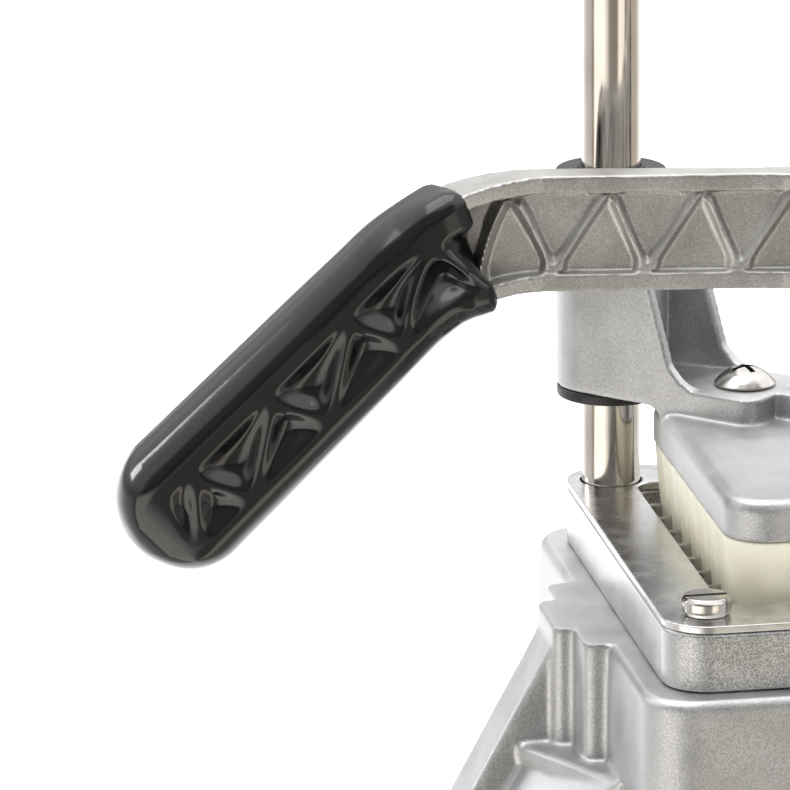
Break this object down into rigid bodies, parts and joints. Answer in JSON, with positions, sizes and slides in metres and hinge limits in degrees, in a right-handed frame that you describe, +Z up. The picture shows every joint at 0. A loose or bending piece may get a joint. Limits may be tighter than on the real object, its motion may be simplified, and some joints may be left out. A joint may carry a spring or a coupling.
{
  "type": "french fry cutter",
  "caption": "Freestanding french fry cutter: a two-handed cast head slides down two guide rods and pushes a potato through a square blade grid.",
  "frame": {"origin": "centre of the blade opening, on the floor that the rubber feet stand on", "axes": "+Z up along the head's travel, -Y towards the front, +X to the right"},
  "size_m": [0.4096, 0.34, 0.4233],
  "materials": {
    "cast_aluminium": "satin, blasted and tumbled casting",
    "cassette_casting": "grainy casting",
    "stainless_plate": "fine brushed, nearly a mirror",
    "stainless_rod": "ground and polished",
    "blade_steel": "bright",
    "fastener_steel": "bright",
    "black_rubber": "matte",
    "black_acetal": "satin",
    "cream_nylon": "satin",
    "dipped_vinyl": "gloss"
  },
  "bodies": {
    "base": {"base_casting": "cast_aluminium", "foot_front": "black_rubber", "foot_rear": "black_rubber", "foot_left": "black_rubber", "foot_right": "black_rubber", "foot_screws": "fastener_steel", "blade_frame": "cassette_casting", "blade_plate": "stainless_plate", "cross_blades": "blade_steel", "long_blades": "blade_steel", "frame_screw_left": "fastener_steel", "frame_screw_right": "fastener_steel", "guide_rod_left": "stainless_rod", "guide_rod_right": "stainless_rod", "rod_base_washers": "fastener_steel", "rod_base_bolts": "fastener_steel", "rod_bumper_left": "black_rubber", "rod_bumper_right": "black_rubber", "rod_washers": "fastener_steel", "rod_bolts": "fastener_steel"},
    "head": {"head_casting": "cast_aluminium", "upper_bushing_left": "black_acetal", "upper_bushing_right": "black_acetal", "lower_bushing_left": "black_acetal", "lower_bushing_right": "black_acetal", "pusher_block": "cream_nylon", "pusher_screw_left": "fastener_steel", "pusher_screw_right": "fastener_steel", "handle_casting": "cast_aluminium", "grip_left": "dipped_vinyl", "grip_right": "dipped_vinyl", "handle_washer": "fastener_steel", "handle_bolt": "fastener_steel"}
  },
  "joints": [
    {"name": "head_slide", "type": "slide", "parent": "base", "child": "head", "axis": [0, 0, 1], "range_m": [0, 0.15]}
  ]
}
